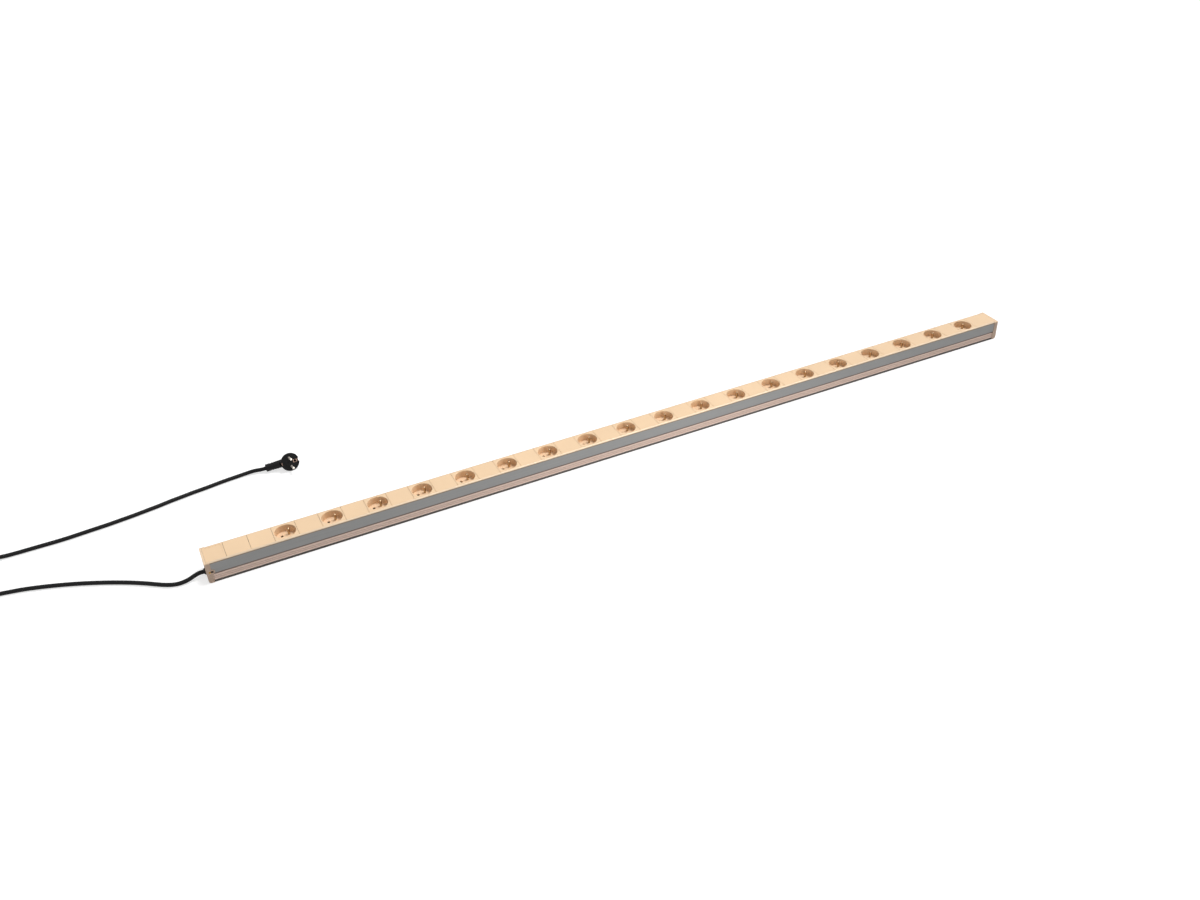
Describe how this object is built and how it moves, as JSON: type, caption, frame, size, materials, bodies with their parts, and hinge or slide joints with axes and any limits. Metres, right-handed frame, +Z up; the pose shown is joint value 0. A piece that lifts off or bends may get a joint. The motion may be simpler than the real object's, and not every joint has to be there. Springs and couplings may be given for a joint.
{
  "type": "power strip",
  "caption": "Long power strip: a metal profile holding a row of round recessed sockets with earth pins and sprung shutters, blank inserts, end caps, and a cord with an angled plug.",
  "frame": {"origin": "middle of the strip on its underside, cord and plug left out", "axes": "+X along the row away from the cord, +Y to the rear, +Z up out of the sockets"},
  "size_m": [2.3042, 0.3114, 0.0455],
  "materials": {
    "profile_metal": "satin anodised",
    "cap_plastic": "fine moulded grain",
    "screw_steel": "zinc plated",
    "screw_brass": "plain",
    "insert_plastic": "satin moulded",
    "pin_metal": "nickel plated",
    "inner_plastic": "moulded",
    "spring_steel": "bright wire",
    "liner_plastic": "sheet",
    "bar_brass": "plain",
    "lead_insulation": "drawn",
    "cord_rubber": "satin",
    "plug_rubber": "satin moulded"
  },
  "bodies": {
    "strip": {"body_profile": "profile_metal", "left_end_cap": "cap_plastic", "right_end_cap": "cap_plastic", "end_cap_screws": "screw_steel", "bonding_screw": "screw_brass", "entry_plate": "insert_plastic", "blank_inserts": "insert_plastic", "earth_pins": "pin_metal", "contact_carriers": "inner_plastic", "shutter_springs": "spring_steel", "insulating_liner": "liner_plastic", "line_bar": "bar_brass", "neutral_bar": "bar_brass", "earth_bar": "bar_brass", "inner_leads": "lead_insulation", "cord_gland": "cord_rubber", "cord_lead": "cord_rubber", "cord_coil": "cord_rubber", "cord_tail": "cord_rubber", "plug_body": "plug_rubber", "plug_pins": "pin_metal", "plug_earth_contacts": "bar_brass", "socket_01": "insert_plastic", "socket_02": "insert_plastic", "socket_03": "insert_plastic", "socket_04": "insert_plastic", "socket_05": "insert_plastic", "socket_06": "insert_plastic", "socket_07": "insert_plastic", "socket_08": "insert_plastic", "socket_09": "insert_plastic", "socket_10": "insert_plastic", "socket_11": "insert_plastic", "socket_12": "insert_plastic", "socket_13": "insert_plastic", "socket_14": "insert_plastic", "socket_15": "insert_plastic", "socket_16": "insert_plastic", "socket_17": "insert_plastic", "socket_18": "insert_plastic", "socket_19": "insert_plastic"},
    "shutter_01": {"shutter_01": "inner_plastic"},
    "shutter_02": {"shutter_02": "inner_plastic"},
    "shutter_03": {"shutter_03": "inner_plastic"},
    "shutter_04": {"shutter_04": "inner_plastic"},
    "shutter_05": {"shutter_05": "inner_plastic"},
    "shutter_06": {"shutter_06": "inner_plastic"},
    "shutter_07": {"shutter_07": "inner_plastic"},
    "shutter_08": {"shutter_08": "inner_plastic"},
    "shutter_09": {"shutter_09": "inner_plastic"},
    "shutter_10": {"shutter_10": "inner_plastic"},
    "shutter_11": {"shutter_11": "inner_plastic"},
    "shutter_12": {"shutter_12": "inner_plastic"},
    "shutter_13": {"shutter_13": "inner_plastic"},
    "shutter_14": {"shutter_14": "inner_plastic"},
    "shutter_15": {"shutter_15": "inner_plastic"},
    "shutter_16": {"shutter_16": "inner_plastic"},
    "shutter_17": {"shutter_17": "inner_plastic"},
    "shutter_18": {"shutter_18": "inner_plastic"},
    "shutter_19": {"shutter_19": "inner_plastic"}
  },
  "joints": [
    {"name": "shutter_01_slide", "type": "slide", "parent": "strip", "child": "shutter_01", "axis": [-0.7071, -0.7071, 0], "range_m": [0, 0.0064], "stiffness_N_per_m": 120, "springref_m": -0.004, "deforming": ["shutter_springs"]},
    {"name": "shutter_02_slide", "type": "slide", "parent": "strip", "child": "shutter_02", "axis": [-0.7071, -0.7071, 0], "range_m": [0, 0.0064], "stiffness_N_per_m": 120, "springref_m": -0.004, "deforming": ["shutter_springs"]},
    {"name": "shutter_03_slide", "type": "slide", "parent": "strip", "child": "shutter_03", "axis": [-0.7071, -0.7071, 0], "range_m": [0, 0.0064], "stiffness_N_per_m": 120, "springref_m": -0.004, "deforming": ["shutter_springs"]},
    {"name": "shutter_04_slide", "type": "slide", "parent": "strip", "child": "shutter_04", "axis": [-0.7071, -0.7071, 0], "range_m": [0, 0.0064], "stiffness_N_per_m": 120, "springref_m": -0.004, "deforming": ["shutter_springs"]},
    {"name": "shutter_05_slide", "type": "slide", "parent": "strip", "child": "shutter_05", "axis": [-0.7071, -0.7071, 0], "range_m": [0, 0.0064], "stiffness_N_per_m": 120, "springref_m": -0.004, "deforming": ["shutter_springs"]},
    {"name": "shutter_06_slide", "type": "slide", "parent": "strip", "child": "shutter_06", "axis": [-0.7071, -0.7071, 0], "range_m": [0, 0.0064], "stiffness_N_per_m": 120, "springref_m": -0.004, "deforming": ["shutter_springs"]},
    {"name": "shutter_07_slide", "type": "slide", "parent": "strip", "child": "shutter_07", "axis": [-0.7071, -0.7071, 0], "range_m": [0, 0.0064], "stiffness_N_per_m": 120, "springref_m": -0.004, "deforming": ["shutter_springs"]},
    {"name": "shutter_08_slide", "type": "slide", "parent": "strip", "child": "shutter_08", "axis": [-0.7071, -0.7071, 0], "range_m": [0, 0.0064], "stiffness_N_per_m": 120, "springref_m": -0.004, "deforming": ["shutter_springs"]},
    {"name": "shutter_09_slide", "type": "slide", "parent": "strip", "child": "shutter_09", "axis": [-0.7071, -0.7071, 0], "range_m": [0, 0.0064], "stiffness_N_per_m": 120, "springref_m": -0.004, "deforming": ["shutter_springs"]},
    {"name": "shutter_10_slide", "type": "slide", "parent": "strip", "child": "shutter_10", "axis": [-0.7071, -0.7071, 0], "range_m": [0, 0.0064], "stiffness_N_per_m": 120, "springref_m": -0.004, "deforming": ["shutter_springs"]},
    {"name": "shutter_11_slide", "type": "slide", "parent": "strip", "child": "shutter_11", "axis": [-0.7071, -0.7071, 0], "range_m": [0, 0.0064], "stiffness_N_per_m": 120, "springref_m": -0.004, "deforming": ["shutter_springs"]},
    {"name": "shutter_12_slide", "type": "slide", "parent": "strip", "child": "shutter_12", "axis": [-0.7071, -0.7071, 0], "range_m": [0, 0.0064], "stiffness_N_per_m": 120, "springref_m": -0.004, "deforming": ["shutter_springs"]},
    {"name": "shutter_13_slide", "type": "slide", "parent": "strip", "child": "shutter_13", "axis": [-0.7071, -0.7071, 0], "range_m": [0, 0.0064], "stiffness_N_per_m": 120, "springref_m": -0.004, "deforming": ["shutter_springs"]},
    {"name": "shutter_14_slide", "type": "slide", "parent": "strip", "child": "shutter_14", "axis": [-0.7071, -0.7071, 0], "range_m": [0, 0.0064], "stiffness_N_per_m": 120, "springref_m": -0.004, "deforming": ["shutter_springs"]},
    {"name": "shutter_15_slide", "type": "slide", "parent": "strip", "child": "shutter_15", "axis": [-0.7071, -0.7071, 0], "range_m": [0, 0.0064], "stiffness_N_per_m": 120, "springref_m": -0.004, "deforming": ["shutter_springs"]},
    {"name": "shutter_16_slide", "type": "slide", "parent": "strip", "child": "shutter_16", "axis": [-0.7071, -0.7071, 0], "range_m": [0, 0.0064], "stiffness_N_per_m": 120, "springref_m": -0.004, "deforming": ["shutter_springs"]},
    {"name": "shutter_17_slide", "type": "slide", "parent": "strip", "child": "shutter_17", "axis": [-0.7071, -0.7071, 0], "range_m": [0, 0.0064], "stiffness_N_per_m": 120, "springref_m": -0.004, "deforming": ["shutter_springs"]},
    {"name": "shutter_18_slide", "type": "slide", "parent": "strip", "child": "shutter_18", "axis": [-0.7071, -0.7071, 0], "range_m": [0, 0.0064], "stiffness_N_per_m": 120, "springref_m": -0.004, "deforming": ["shutter_springs"]},
    {"name": "shutter_19_slide", "type": "slide", "parent": "strip", "child": "shutter_19", "axis": [-0.7071, -0.7071, 0], "range_m": [0, 0.0064], "stiffness_N_per_m": 120, "springref_m": -0.004, "deforming": ["shutter_springs"]}
  ]
}
